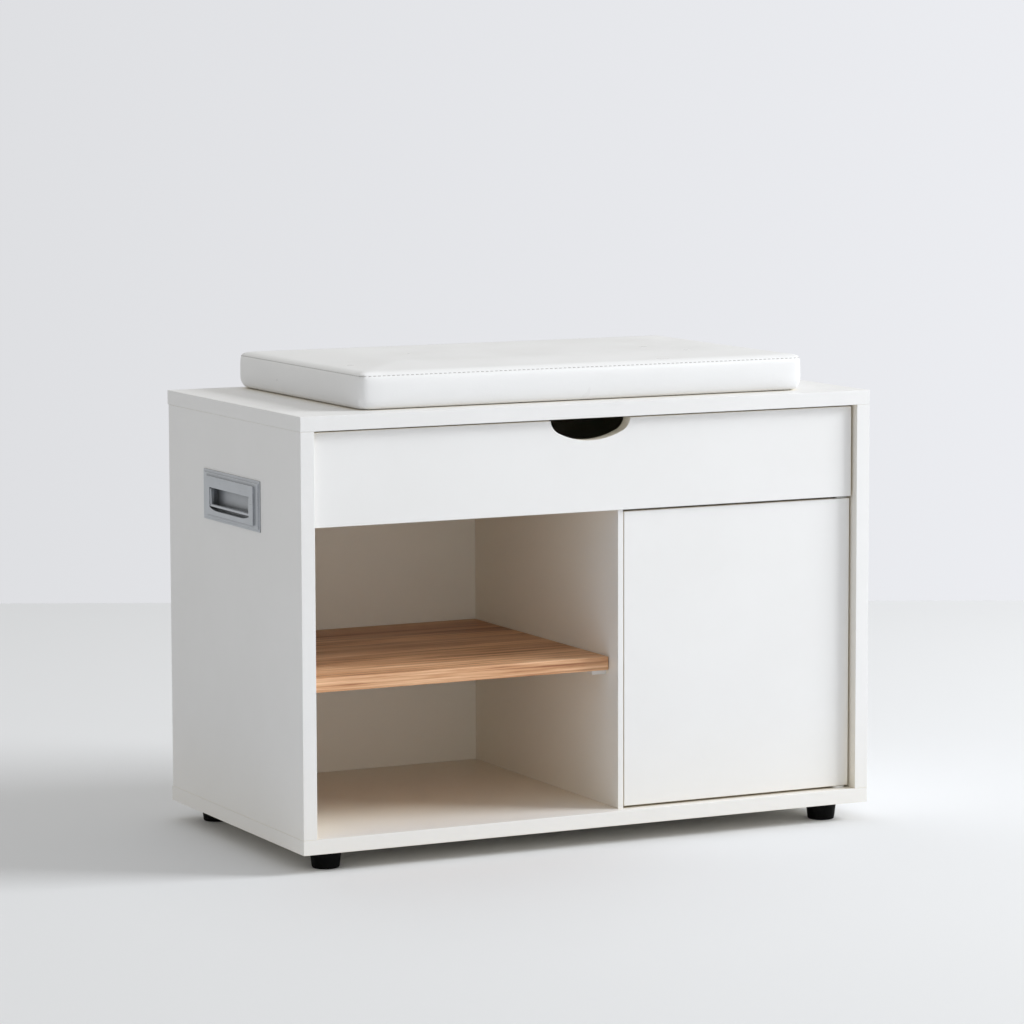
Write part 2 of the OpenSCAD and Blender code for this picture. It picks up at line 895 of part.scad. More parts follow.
module foot_back_left() {
  color("#1c1c1c") foot(-1, 1);
}

module foot_back_right() {
  color("#1c1c1c") foot(1, 1);
}

module left_rail() {
  color("gainsboro") rail(-1);
}

module right_rail() {
  color("gainsboro") rail(1);
}

module drawer_left_side() {
  color("white") drawer_side(-1);
}

module drawer_right_side() {
  color("white") drawer_side(1);
}

module left_handle_plate() {
  color("silver") handle_plate(-1);
}

module left_handle_bail() {
  color("silver") handle_bail(-1);
}

module left_handle_pins() {
  color("dimgray") handle_pins(-1);
}

module right_handle_plate() {
  color("silver") handle_plate(1);
}

module right_handle_bail() {
  color("silver") handle_bail(1);
}

module right_handle_pins() {
  color("dimgray") handle_pins(1);
}

top_panel();
bottom_panel();
left_side_panel();
right_side_panel();
divider_panel();
mid_panel();
back_panel();
wood_shelf();
shelf_pins();
foot_front_left();
foot_front_right();
foot_back_left();
foot_back_right();
foot_screws();
base_screws();
mid_panel_screws();
wood_dowels();
cam_bolts();
cam_discs();
back_nails();
left_rail();
right_rail();
rail_screws();
drawer_front();
drawer_left_side();
drawer_right_side();
drawer_back();
drawer_bottom();
drawer_cam_bolts();
drawer_cam_discs();
drawer_dowels();
drawer_back_screws();
door_panel();
door_top_pin();
door_bottom_pin();
door_strike_plate();
pivot_plate();
pivot_plate_screws();
pivot_bush();
latch_housing();
latch_plunger();
latch_spring();
latch_screws();
left_handle_plate();
left_handle_bail();
left_handle_pins();
right_handle_plate();
right_handle_bail();
right_handle_pins();
handle_screws();
cushion_cover();
cushion_foam();
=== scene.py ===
import json
import math

import bmesh
import bpy
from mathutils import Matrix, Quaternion, Vector
from mathutils.bvhtree import BVHTree

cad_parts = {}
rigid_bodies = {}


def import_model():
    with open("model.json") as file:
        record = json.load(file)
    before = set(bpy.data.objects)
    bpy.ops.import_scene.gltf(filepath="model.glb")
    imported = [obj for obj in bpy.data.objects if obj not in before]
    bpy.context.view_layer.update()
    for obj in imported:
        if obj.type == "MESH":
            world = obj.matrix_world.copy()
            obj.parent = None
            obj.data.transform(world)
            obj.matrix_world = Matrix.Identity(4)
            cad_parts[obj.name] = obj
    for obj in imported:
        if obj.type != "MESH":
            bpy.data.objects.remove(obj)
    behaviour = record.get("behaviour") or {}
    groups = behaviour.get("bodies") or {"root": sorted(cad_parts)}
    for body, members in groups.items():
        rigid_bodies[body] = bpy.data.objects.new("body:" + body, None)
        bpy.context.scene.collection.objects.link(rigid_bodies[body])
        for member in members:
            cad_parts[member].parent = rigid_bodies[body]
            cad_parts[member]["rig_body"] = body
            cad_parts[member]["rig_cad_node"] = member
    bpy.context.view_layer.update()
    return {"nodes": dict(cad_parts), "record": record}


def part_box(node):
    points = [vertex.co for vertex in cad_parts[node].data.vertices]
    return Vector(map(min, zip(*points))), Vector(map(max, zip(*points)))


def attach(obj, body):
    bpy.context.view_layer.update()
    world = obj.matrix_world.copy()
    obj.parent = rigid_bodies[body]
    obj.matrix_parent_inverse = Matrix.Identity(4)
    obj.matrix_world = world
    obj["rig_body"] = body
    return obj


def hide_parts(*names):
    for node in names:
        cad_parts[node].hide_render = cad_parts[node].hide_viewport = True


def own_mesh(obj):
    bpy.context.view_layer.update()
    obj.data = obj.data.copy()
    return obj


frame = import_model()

scene = bpy.context.scene
print("frame loaded:", len(frame["nodes"]), "nodes")


def deselect():
    if bpy.context.object and bpy.context.object.mode != "OBJECT":
        bpy.ops.object.mode_set(mode="OBJECT")
    bpy.ops.object.select_all(action="DESELECT")


def take(piece):
    deselect()
    piece.select_set(True)
    bpy.context.view_layer.objects.active = piece


def selectEdges(piece, wanted):  # left in edit mode, with the wanted edges selected
    bpy.ops.object.mode_set(mode="EDIT")
    bpy.ops.mesh.select_mode(type="EDGE")
    bpy.ops.mesh.select_all(action="DESELECT")
    shape = bmesh.from_edit_mesh(piece.data)
    for edge in shape.edges:
        edge.select_set(wanted(edge))
    bmesh.update_edit_mesh(piece.data)


def applyModifier(piece, kind, **settings):
    take(piece)
    bpy.ops.object.modifier_add(type=kind)
    modifier = piece.modifiers[-1]
    for key, value in settings.items():
        setattr(modifier, key, value)
    bpy.ops.object.modifier_apply(modifier=modifier.name)


def setDown(piece, name, material, body, slot, *nodes):
    take(piece)
    bpy.ops.object.transform_apply(location=True, rotation=True, scale=True)
    piece.name = name
    if material:
        piece.data.materials.clear()
        piece.data.materials.append(material)
    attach(piece, body)
    if nodes:
        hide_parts(*nodes)
    return piece


# camera, floor and light

cameraSpec = {"place": (-2.1033, -4.2227, 0.8947), "turn": 26.3965, "dip": 6.6089, "roll": -0.1689,
              "lens": 149.36}


def addCamera(spec):
    turn, dip = math.radians(spec["turn"]), math.radians(spec["dip"])
    ahead = Vector((math.sin(turn) * math.cos(dip), math.cos(turn) * math.cos(dip), -math.sin(dip)))
    bpy.ops.object.camera_add(location=spec["place"])
    camera = bpy.context.object
    camera.rotation_mode = "QUATERNION"
    roll = Quaternion((0, 0, 1), math.radians(spec["roll"]))
    camera.rotation_quaternion = ahead.to_track_quat("-Z", "Y") @ roll
    camera.data.lens = spec["lens"]
    camera.data.clip_end = 40
    scene.camera = camera
    return ahead


# the two wall tones paint a light falloff across the backdrop, shaded at the left and lit at the right
stageSpec = {"floorBack": 1.796, "floorFront": 6.0, "floorWide": 14.0, "floorTone": (0.77, 0.785, 0.81),
             "wallShadedLeft": (0.735, 0.742, 0.765), "wallLitRight": (0.835, 0.845, 0.88), "ambient": 0.58,
             "airTone": (1.0, 0.985, 0.95), "keyTone": (0.97, 0.985, 1.0),
             "keyHeight": 30, "keyAway": 5.5, "keySize": 2.3, "keyPower": 262, "topPower": 5, "topSize": 1.5,
             "topAway": 3.2, "topWay": (0.05, 0.5, 1), "lampRise": 0.25}


def addStage(spec, ahead):
    flat = Vector((ahead.x, ahead.y, 0)).normalized()
    middle = flat * (spec["floorBack"] - spec["floorFront"]) / 2
    long = spec["floorBack"] + spec["floorFront"]
    turned = (0, 0, -math.radians(cameraSpec["turn"]))
    bpy.ops.mesh.primitive_plane_add(size=1, location=middle, rotation=turned)
    floor = bpy.context.object
    floor.scale = (spec["floorWide"], long, 1)
    floor.name = "studioFloor"
    floor.data.materials.append(floorMaterial(spec))
    world = bpy.data.worlds.new("studio")
    scene.world = world
    world.use_nodes = True
    nodes, links = world.node_tree.nodes, world.node_tree.links
    nodes.clear()
    path = nodes.new("ShaderNodeLightPath")
    wall = nodes.new("ShaderNodeBackground")
    right = Vector((flat.y, -flat.x, 0))
    across = nodes.new("ShaderNodeVectorMath")
    across.operation = "DOT_PRODUCT"
    across.inputs[1].default_value = right
    links.new(nodes.new("ShaderNodeTexCoord").outputs["Generated"], across.inputs[0])
    # painted light falloff on the backdrop: the wall seen by the camera runs from the shaded left tone to the
    # lit right tone
    drift = nodes.new("ShaderNodeMapRange")
    drift.inputs["From Min"].default_value = -0.12
    drift.inputs["From Max"].default_value = 0.12
    links.new(across.outputs["Value"], drift.inputs["Value"])
    tones = nodes.new("ShaderNodeMix")
    tones.data_type = "RGBA"
    tones.inputs[6].default_value = (*spec["wallShadedLeft"], 1)
    tones.inputs[7].default_value = (*spec["wallLitRight"], 1)
    links.new(drift.outputs[0], tones.inputs[0])
    links.new(tones.outputs[2], wall.inputs["Color"])
    air = nodes.new("ShaderNodeBackground")
    air.inputs["Color"].default_value = (*spec["airTone"], 1)
    air.inputs["Strength"].default_value = spec["ambient"]
    pick = nodes.new("ShaderNodeMixShader")
    out = nodes.new("ShaderNodeOutputWorld")
    links.new(path.outputs["Is Camera Ray"], pick.inputs[0])
    links.new(air.outputs[0], pick.inputs[1])
    links.new(wall.outputs[0], pick.inputs[2])
    links.new(pick.outputs[0], out.inputs[0])


def addLights(spec, ahead):
    right = Vector((ahead.y, -ahead.x, 0)).normalized()
    rise = math.radians(spec["keyHeight"])
    toward = right * math.cos(rise) + Vector((0, 0, math.sin(rise)))
    above = Vector(spec["topWay"]).normalized()
    for name, way in (("key", toward), ("top", above)):
        place = way * spec[name + "Away"] + Vector((0, 0, spec["lampRise"]))
        bpy.ops.object.light_add(type="AREA", location=place)
        lamp = bpy.context.object
        lamp.name = name
        lamp.data.size = spec[name + "Size"]
        lamp.data.energy = spec[name + "Power"]
        lamp.data.color = spec["keyTone"]
        lamp.rotation_mode = "QUATERNION"
        lamp.rotation_quaternion = way.to_track_quat("Z", "Y")
        lamp.visible_camera = False


# shared effects, as node groups

def startGroup(name, inputs, outputs):
    group = bpy.data.node_groups.new(name, "ShaderNodeTree")
    for label, kind, value in inputs:
        socket = group.interface.new_socket(label, in_out="INPUT", socket_type=kind)
        if value is not None:
            socket.default_value = value
    for label, kind in outputs:
        group.interface.new_socket(label, in_out="OUTPUT", socket_type=kind)
    return group, group.nodes.new("NodeGroupInput"), group.nodes.new("NodeGroupOutput")


def buildGrainGroup():  # fine even texture: a height for bump and a mask for gloss
    group, start, end = startGroup(
        "fineGrain", (("Vector", "NodeSocketVector", None), ("Scale", "NodeSocketFloat", 900.0),
                      ("Coarse", "NodeSocketFloat", 60.0)),
        (("Height", "NodeSocketFloat"), ("Mask", "NodeSocketFloat")))
    nodes, links = group.nodes, group.links
    fine = nodes.new("ShaderNodeTexNoise")
    fine.inputs["Detail"].default_value = 3
    coarse = nodes.new("ShaderNodeTexNoise")
    coarse.inputs["Detail"].default_value = 2
    for noise, label in ((fine, "Scale"), (coarse, "Coarse")):
        links.new(start.outputs["Vector"], noise.inputs["Vector"])
        links.new(start.outputs[label], noise.inputs["Scale"])
    join = nodes.new("ShaderNodeMath")
    join.operation = "MULTIPLY_ADD"
    join.inputs[1].default_value = 0.35
    links.new(coarse.outputs["Fac"], join.inputs[0])
    links.new(fine.outputs["Fac"], join.inputs[2])
    links.new(join.outputs[0], end.inputs["Height"])
    links.new(coarse.outputs["Fac"], end.inputs["Mask"])
    return group


def buildToneGroup():  # slow drift of tone, plus faint hand marks
    group, start, end = startGroup(
        "toneDrift", (("Color", "NodeSocketColor", (1, 1, 1, 1)),
                      ("Dark", "NodeSocketColor", (0.5, 0.5, 0.5, 1)),
                      ("Vector", "NodeSocketVector", None), ("Scale", "NodeSocketFloat", 5.0),
                      ("Amount", "NodeSocketFloat", 0.08)),
        (("Color", "NodeSocketColor"), ("Mask", "NodeSocketFloat")))
    nodes, links = group.nodes, group.links
    noise = nodes.new("ShaderNodeTexNoise")
    noise.inputs["Detail"].default_value = 4
    noise.inputs["Roughness"].default_value = 0.6
    links.new(start.outputs["Vector"], noise.inputs["Vector"])
    links.new(start.outputs["Scale"], noise.inputs["Scale"])
    spread = nodes.new("ShaderNodeMapRange")
    spread.inputs["From Min"].default_value = 0.35
    spread.inputs["From Max"].default_value = 0.75
    links.new(noise.outputs["Fac"], spread.inputs["Value"])
    share = nodes.new("ShaderNodeMath")
    share.operation = "MULTIPLY"
    links.new(spread.outputs[0], share.inputs[0])
    links.new(start.outputs["Amount"], share.inputs[1])
    mix = nodes.new("ShaderNodeMix")
    mix.data_type = "RGBA"
    links.new(share.outputs[0], mix.inputs[0])
    links.new(start.outputs["Color"], mix.inputs[6])
    links.new(start.outputs["Dark"], mix.inputs[7])
    links.new(mix.outputs[2], end.inputs["Color"])
    links.new(spread.outputs[0], end.inputs["Mask"])
    return group


def buildWearAndHighlightGroup():  # rubbed corners, and on the metal a painted edge highlight: where the surface turns within a small radius, broken up by noise
    group, start, end = startGroup(
        "edgeWearAndHighlight", (("Vector", "NodeSocketVector", None), ("Radius", "NodeSocketFloat", 0.0008),
                     ("Amount", "NodeSocketFloat", 0.5)), (("Mask", "NodeSocketFloat"),))
    nodes, links = group.nodes, group.links
    geometry = nodes.new("ShaderNodeNewGeometry")
    bevel = nodes.new("ShaderNodeBevel")
    bevel.samples = 4
    links.new(start.outputs["Radius"], bevel.inputs["Radius"])
    dot = nodes.new("ShaderNodeVectorMath")
    dot.operation = "DOT_PRODUCT"
    links.new(bevel.outputs[0], dot.inputs[0])
    links.new(geometry.outputs["Normal"], dot.inputs[1])
    turned = nodes.new("ShaderNodeMapRange")
    turned.inputs["From Min"].default_value = 0.995
    turned.inputs["From Max"].default_value = 0.85
    links.new(dot.outputs["Value"], turned.inputs["Value"])
    noise = nodes.new("ShaderNodeTexNoise")
    noise.inputs["Scale"].default_value = 120
    noise.inputs["Detail"].default_value = 4
    links.new(start.outputs["Vector"], noise.inputs["Vector"])
    breakUp = nodes.new("ShaderNodeMapRange")
    breakUp.inputs["From Min"].default_value = 0.4
    breakUp.inputs["From Max"].default_value = 0.65
    links.new(noise.outputs["Fac"], breakUp.inputs["Value"])
    both = nodes.new("ShaderNodeMath")
    both.operation = "MULTIPLY"
    links.new(turned.outputs[0], both.inputs[0])
    links.new(breakUp.outputs[0], both.inputs[1])
    scaled = nodes.new("ShaderNodeMath")
    scaled.operation = "MULTIPLY"
    links.new(both.outputs[0], scaled.inputs[0])
    links.new(start.outputs["Amount"], scaled.inputs[1])
    links.new(scaled.outputs[0], end.inputs["Mask"])
    return group


grainGroup, toneGroup, wearAndHighlightGroup = buildGrainGroup(), buildToneGroup(), buildWearAndHighlightGroup()


class Finish:  # one material being wired up

    def __init__(self, name, metallic=0.0, ior=1.5):
        self.material = bpy.data.materials.new(name)
        self.material.use_nodes = True
        self.nodes = self.material.node_tree.nodes
        self.links = self.material.node_tree.links
        self.shader = self.nodes["Principled BSDF"]
        self.shader.inputs["Metallic"].default_value = metallic
        self.shader.inputs["IOR"].default_value = ior
        self.place = self.nodes.new("ShaderNodeTexCoord").outputs["Object"]

    def node(self, kind, **values):
        made = self.nodes.new(kind)
        for label, value in values.items():
            made.inputs[label].default_value = value
        return made

    def group(self, tree, vector=None, **values):
        made = self.nodes.new("ShaderNodeGroup")
        made.node_tree = tree
        self.links.new(vector or self.place, made.inputs["Vector"])
        for label, value in values.items():
            made.inputs[label].default_value = value
        return made

    def stretch(self, scale):
        mapping = self.node("ShaderNodeMapping", Scale=scale)
        self.links.new(self.place, mapping.inputs["Vector"])
        return mapping.outputs["Vector"]

    def mix(self, share, first, second):
        made = self.nodes.new("ShaderNodeMix")
        made.data_type = "RGBA"
        for socket, value in ((0, share), (6, first), (7, second)):
            if isinstance(value, bpy.types.NodeSocket):
                self.links.new(value, made.inputs[socket])
            else:
                made.inputs[socket].default_value = value
        return made.outputs[2]

    def roughness(self, mask, low, high):
        spread = self.node("ShaderNodeMapRange")
        spread.inputs["From Min"].default_value = 0.25
        spread.inputs["From Max"].default_value = 0.75
        spread.inputs["To Min"].default_value = low
        spread.inputs["To Max"].default_value = high
        self.links.new(mask, spread.inputs["Value"])
        self.links.new(spread.outputs[0], self.shader.inputs["Roughness"])

    def bump(self, height, distance, strength=1.0):
        made = self.node("ShaderNodeBump", Distance=distance, Strength=strength)
        self.links.new(height, made.inputs["Height"])
        self.links.new(made.outputs[0], self.shader.inputs["Normal"])

    def color(self, socket):
        self.links.new(socket, self.shader.inputs["Base Color"])


def floorMaterial(spec):
    made = Finish("studioFloor")
    tone = made.group(toneGroup, Color=(*spec["floorTone"], 1), Dark=(0.7, 0.71, 0.74, 1),
                      Scale=1.5, Amount=0.06)
    made.color(tone.outputs["Color"])
    made.shader.inputs["Roughness"].default_value = 0.75
    made.shader.inputs["Specular IOR Level"].default_value = 0.2
    return made.material


def coatedMaterial(name, tone, dark, rough=(0.38, 0.52), grain=900, deep=0.00002, wear=0.35, shine=0.5,
                   corner=None):
    made = Finish(name)
    made.shader.inputs["Specular IOR Level"].default_value = shine
    drift = made.group(toneGroup, Color=(*tone, 1), Dark=(*dark, 1), Scale=7.0, Amount=0.10)
    wearAndHighlight = made.group(wearAndHighlightGroup, Radius=0.0009, Amount=wear)
    texture = made.group(grainGroup, Scale=grain, Coarse=45.0)
    tones = drift.outputs["Color"]
    if corner:  # painted warm bounce light and shade: deep in the bays, where ambient occlusion is strong, the white is mixed towards the corner tone
        paintedShadeOcclusion = made.node("ShaderNodeAmbientOcclusion", Distance=0.30)
        paintedShadeOcclusion.samples = 6
        paintedBounceShare = made.node("ShaderNodeMapRange")
        paintedBounceShare.inputs["From Min"].default_value = 0.25
        paintedBounceShare.inputs["From Max"].default_value = 0.62
        made.links.new(paintedShadeOcclusion.outputs["AO"], paintedBounceShare.inputs["Value"])
        tones = made.mix(paintedBounceShare.outputs[0], (*corner, 1), tones)
    made.color(made.mix(wearAndHighlight.outputs["Mask"], tones, (*dark, 1)))
    made.roughness(texture.outputs["Mask"], *rough)
    made.bump(texture.outputs["Height"], deep)
    return made.material


def metalMaterial(name, tone, rough, brushed, metallic=1.0):
    made = Finish(name, metallic=metallic)
    lines = made.stretch(brushed)
    texture = made.group(grainGroup, vector=lines, Scale=1.0, Coarse=0.2)
    drift = made.group(toneGroup, Color=(*tone, 1), Dark=tuple(0.72 * t for t in tone) + (1,), Scale=30.0,
                       Amount=0.3)
    wearAndHighlight = made.group(wearAndHighlightGroup, Radius=0.0008, Amount=0.8)
    # painted shade: in recesses that ambient occlusion finds within 18 mm the colour is darkened to a tenth
    # of the metal tone
    paintedShadeOcclusion = made.node("ShaderNodeAmbientOcclusion", Distance=0.018)
    paintedShadeOcclusion.samples = 8
    paintedRecessShade = made.mix(paintedShadeOcclusion.outputs["AO"], tuple(0.10 * t for t in tone) + (1,), drift.outputs["Color"])
    # wear, and a painted edge highlight: the turned edges of the metal are coloured half again brighter than
    # its tone
    made.color(made.mix(wearAndHighlight.outputs["Mask"], paintedRecessShade, tuple(min(1, 1.5 * t) for t in tone) + (1,)))
    made.roughness(texture.outputs["Height"], *rough)
    made.bump(texture.outputs["Height"], 0.00001)
    return made.material


woodSpec = {"stave": 0.047, "dark": (0.27, 0.100, 0.040), "mid": (0.62, 0.325, 0.160),
            "light": (0.93, 0.60, 0.37)}


def woodMaterial(name, spec, tint=1.0):
    made = Finish(name)
    split = made.node("ShaderNodeSeparateXYZ")
    made.links.new(made.place, split.inputs[0])
    stave = made.node("ShaderNodeMath")  # glued staves, each from another board
    stave.operation = "DIVIDE"
    stave.inputs[1].default_value = spec["stave"]
    made.links.new(split.outputs["Y"], stave.inputs[0])
    number = made.node("ShaderNodeMath")
    number.operation = "FLOOR"
    made.links.new(stave.outputs[0], number.inputs[0])
    chance = made.nodes.new("ShaderNodeTexWhiteNoise")
    chance.noise_dimensions = "1D"
    made.links.new(number.outputs[0], chance.inputs["W"])
    seed = made.node("ShaderNodeMath")
    seed.operation = "MULTIPLY"
    seed.inputs[1].default_value = 37.0
    made.links.new(chance.outputs["Value"], seed.inputs[0])

    def streaks(scale, detail, rough, bend):
        noise = made.nodes.new("ShaderNodeTexNoise")
        noise.noise_dimensions = "4D"
        noise.inputs["Scale"].default_value = 1.0
        noise.inputs["Detail"].default_value = detail
        noise.inputs["Roughness"].default_value = rough
        noise.inputs["Distortion"].default_value = bend
        made.links.new(made.stretch(scale), noise.inputs["Vector"])
        made.links.new(seed.outputs[0], noise.inputs["W"])
        return noise.outputs["Fac"]

    broad = streaks((3.0, 60.0, 110.0), 3, 0.5, 0.4)
    fine = streaks((8.0, 260.0, 430.0), 5, 0.65, 0.25)
    pores = streaks((60.0, 1500.0, 1500.0), 2, 0.5, 0.0)
    tones = made.nodes.new("ShaderNodeValToRGB")
    tones.color_ramp.elements[0].position = 0.40
    tones.color_ramp.elements[0].color = (*(tint * c for c in spec["dark"]), 1)
    tones.color_ramp.elements[1].position = 0.60
    tones.color_ramp.elements[1].color = (*(tint * c for c in spec["light"]), 1)
    middle = tones.color_ramp.elements.new(0.48)
    middle.color = (*(tint * c for c in spec["mid"]), 1)
    together = made.node("ShaderNodeMath")
    together.operation = "MULTIPLY_ADD"
    together.inputs[1].default_value = 0.42
    half = made.node("ShaderNodeMath")
    half.operation = "MULTIPLY"
    half.inputs[1].default_value = 0.58
    made.links.new(fine, half.inputs[0])
    made.links.new(broad, together.inputs[0])
    made.links.new(half.outputs[0], together.inputs[2])
    made.links.new(together.outputs[0], tones.inputs[0])
    shade = made.node("ShaderNodeMapRange")
    shade.inputs["To Min"].default_value = 0.0
    shade.inputs["To Max"].default_value = 0.5
    made.links.new(chance.outputs["Value"], shade.inputs["Value"])
    staved = made.mix(shade.outputs[0], tones.outputs[0], (*(tint * c for c in spec["dark"]), 1))
    wearAndHighlight = made.group(wearAndHighlightGroup, Radius=0.0012, Amount=0.6)
    made.color(made.mix(wearAndHighlight.outputs["Mask"], staved, (*spec["light"], 1)))
    made.roughness(fine, 0.38, 0.6)
    made.bump(pores, 0.00006)
    return made.material


def leatherMaterial(name):
    made = Finish(name, ior=1.48)
    cells = made.node("ShaderNodeTexVoronoi", Scale=620.0, Randomness=1.0)
    cells.feature = "SMOOTH_F1"
    made.links.new(made.place, cells.inputs["Vector"])
    drift = made.group(toneGroup, Color=(0.835, 0.845, 0.862, 1), Dark=(0.70, 0.705, 0.70, 1),
                       Scale=9.0, Amount=0.12)
    texture = made.group(grainGroup, Scale=260.0, Coarse=22.0)
    made.color(drift.outputs["Color"])
    made.roughness(texture.outputs["Mask"], 0.27, 0.44)
    soft = made.node("ShaderNodeMath")
    soft.operation = "MULTIPLY_ADD"
    soft.inputs[1].default_value = 0.5
    made.links.new(texture.outputs["Height"], soft.inputs[0])
    made.links.new(cells.outputs["Distance"], soft.inputs[2])
    made.bump(soft.outputs[0], 0.00005, 0.8)
    made.shader.inputs["Coat Weight"].default_value = 0.15
    made.shader.inputs["Coat Roughness"].default_value = 0.25
    return made.material


finishes = {
    # the corner tones are painted warm bounce light and shade for the hollows of the bays
    "white_board": coatedMaterial("whiteBoard", (0.83, 0.835, 0.845), (0.62, 0.615, 0.59),
                                  corner=(0.88, 0.82, 0.70)),
    "back_board": coatedMaterial("backBoard", (0.86, 0.85, 0.825), (0.66, 0.65, 0.61), rough=(0.5, 0.65),
                                 grain=600,
                                 corner=(0.99, 0.965, 0.88)),
    "natural_wood": woodMaterial("shelfWood", woodSpec),
    "dowel_wood": woodMaterial("dowelWood", {**woodSpec, "stave": 1.0}, tint=1.15),
    "black_plastic": coatedMaterial("blackPlastic", (0.0022, 0.0022, 0.0023), (0.012, 0.012, 0.012),
                                    rough=(0.5, 0.7), grain=1400, deep=0.00003, wear=0.5, shine=0.08),
    "white_plastic": coatedMaterial("whitePlastic", (0.78, 0.78, 0.77), (0.55, 0.55, 0.53), rough=(0.3, 0.42),
                                    grain=1500),
    "grey_plastic": coatedMaterial("greyPlastic", (0.30, 0.31, 0.32), (0.2, 0.2, 0.2), rough=(0.3, 0.42),
                                   grain=1500),
    "satin_metal": metalMaterial("satinMetal", (0.56, 0.59, 0.635), (0.22, 0.38), (2500.0, 60.0, 2500.0),
                                 metallic=0.6),
    "steel": metalMaterial("zincSteel", (0.55, 0.55, 0.53), (0.25, 0.45), (900.0, 900.0, 900.0)),
    "white_leather": leatherMaterial("whiteLeather"),
    "foam": coatedMaterial("seatFoam", (0.80, 0.74, 0.52), (0.6, 0.52, 0.3), rough=(0.85, 0.98), grain=420,
                           deep=0.0004, wear=0.0),
}
# the thread is coloured grey partly as painted shade, standing in for the shadowed stitch holes along the
# seam
shadedThread = coatedMaterial("seamThreadWithPaintedShade", (0.42, 0.42, 0.41), (0.24, 0.24, 0.24), rough=(0.6, 0.8), grain=3000,
                        deep=0.00005, wear=0.0)
print("finishes made:", len(finishes) + 1)

slotOf = {row["node"]: row["material_slot"] for row in frame["record"]["subparts"]}
for node, piece in frame["nodes"].items():
    piece.data.materials.clear()
    piece.data.materials.append(finishes[slotOf[node]])


# boards and metal with their edges broken, and feet smoothed without a bevel, as pieces that stand for the
# CAD nodes

edgeSpec = {  # width of the broken edge, steps, and the shortest edge that is broken, in metres
    "top_panel": ("topBoard", 0.0005, 3, 0.009), "bottom_panel": ("bottomBoard", 0.0005, 3, 0.009),
    "left_side_panel": ("leftBoard", 0.0005, 3, 0.009), "right_side_panel": ("rightBoard", 0.0005, 3, 0.009),
    "divider_panel": ("divider", 0.0005, 3, 0.009), "mid_panel": ("middleBoard", 0.0005, 3, 0.009),
    "back_panel": ("backBoard", 0.0003, 2, 0.002), "wood_shelf": ("woodenShelf", 0.0010, 4, 0.009),
    "drawer_front": ("drawerFront", 0.0006, 3, 0.009),
    "drawer_left_side": ("drawerLeftSide", 0.0005, 2, 0.009),
    "drawer_right_side": ("drawerRightSide", 0.0005, 2, 0.009),
    "drawer_back": ("drawerBack", 0.0005, 2, 0.009),
    "drawer_bottom": ("drawerBottom", 0.0003, 2, 0.002), "door_panel": ("door", 0.0006, 3, 0.009),
    "left_rail": ("leftRail", 0.0006, 3, 0.005), "right_rail": ("rightRail", 0.0006, 3, 0.005),
    "latch_housing": ("latchHousing", 0.0006, 3, 0.004), "pivot_plate": ("pivotPlate", 0.0003, 2, 0.004),
    "left_handle_plate": ("leftHandlePlate", 0.0004, 3, 0.0),
    "right_handle_plate": ("rightHandlePlate", 0.0004, 3, 0.0),
    "left_handle_bail": ("leftHandleBail", 0.0007, 4, 0.002),
    "right_handle_bail": ("rightHandleBail", 0.0007, 4, 0.002),
    "foot_front_left": ("footFrontLeft", 0, 0, 0), "foot_front_right": ("footFrontRight", 0, 0, 0),
    "foot_back_left": ("footBackLeft", 0, 0, 0), "foot_back_right": ("footBackRight", 0, 0, 0),
    "latch_spring": ("latchSpring", 0, 0, 0),
}

softSpec = {"merge": 0.00001, "flat": 0.6, "sharp": 30, "smooth": 32}  # metres, then degrees
rimSpec = {"halfWide": 0.06, "deep": 0.03, "shortest": 0.0004, "standsOut": 0.0002}
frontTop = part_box("drawer_front")[1].z
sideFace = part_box("right_side_panel")[1].x


def isRim(node, edge):  # short edges that are broken too: the finger cut-out, and what stands out of the side
    middle = (edge.verts[0].co + edge.verts[1].co) / 2
    if node == "drawer_front":
        atCutout = abs(middle.x) < rimSpec["halfWide"] and middle.z > frontTop - rimSpec["deep"]
        return atCutout and edge.calc_length() > rimSpec["shortest"]
    return "handle_plate" in node and abs(middle.x) > sideFace + rimSpec["standsOut"]


def softenNode(node):
    name, width, steps, shortest = edgeSpec[node]
    take(frame["nodes"][node])
    bpy.ops.object.duplicate()
    piece = bpy.context.object
    piece.data.name = name
    del piece["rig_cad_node"]
    bpy.ops.object.mode_set(mode="EDIT")
    bpy.ops.mesh.select_all(action="SELECT")
    bpy.ops.mesh.remove_doubles(threshold=softSpec["merge"])
    bpy.ops.mesh.dissolve_limited(angle_limit=math.radians(softSpec["flat"]))
    bpy.ops.object.mode_set(mode="OBJECT")
    if width:
        shape = bmesh.new()
        shape.from_mesh(piece.data)
        weights = shape.edges.layers.float.new("bevel_weight_edge")
        for edge in shape.edges:
            sharp = len(edge.link_faces) == 2 and edge.calc_face_angle(0) > math.radians(softSpec["sharp"])
            long = shortest > 0 and edge.calc_length() > shortest
            edge[weights] = 1.0 if sharp and (long or isRim(node, edge)) else 0.0
        shape.to_mesh(piece.data)
        shape.free()
        applyModifier(piece, "BEVEL", width=width, segments=steps, limit_method="WEIGHT",
                      use_clamp_overlap=False)
    take(piece)
    bpy.ops.object.shade_smooth_by_angle(angle=math.radians(softSpec["smooth"]))
    applyModifier(piece, "WEIGHTED_NORMAL", keep_sharp=True)
    return setDown(piece, name, finishes[slotOf[node]], frame["nodes"][node]["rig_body"], slotOf[node], node)


for node in edgeSpec:
    if node != "latch_spring":
        softenNode(node)
print("edges broken on", len(edgeSpec), "pieces")


def makeLatchSpring():  # rides on the cabinet, with a mesh of its own
    spring = softenNode("latch_spring")
    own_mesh(spring)


makeLatchSpring()


# seat cushion: sewn cover over a foam block

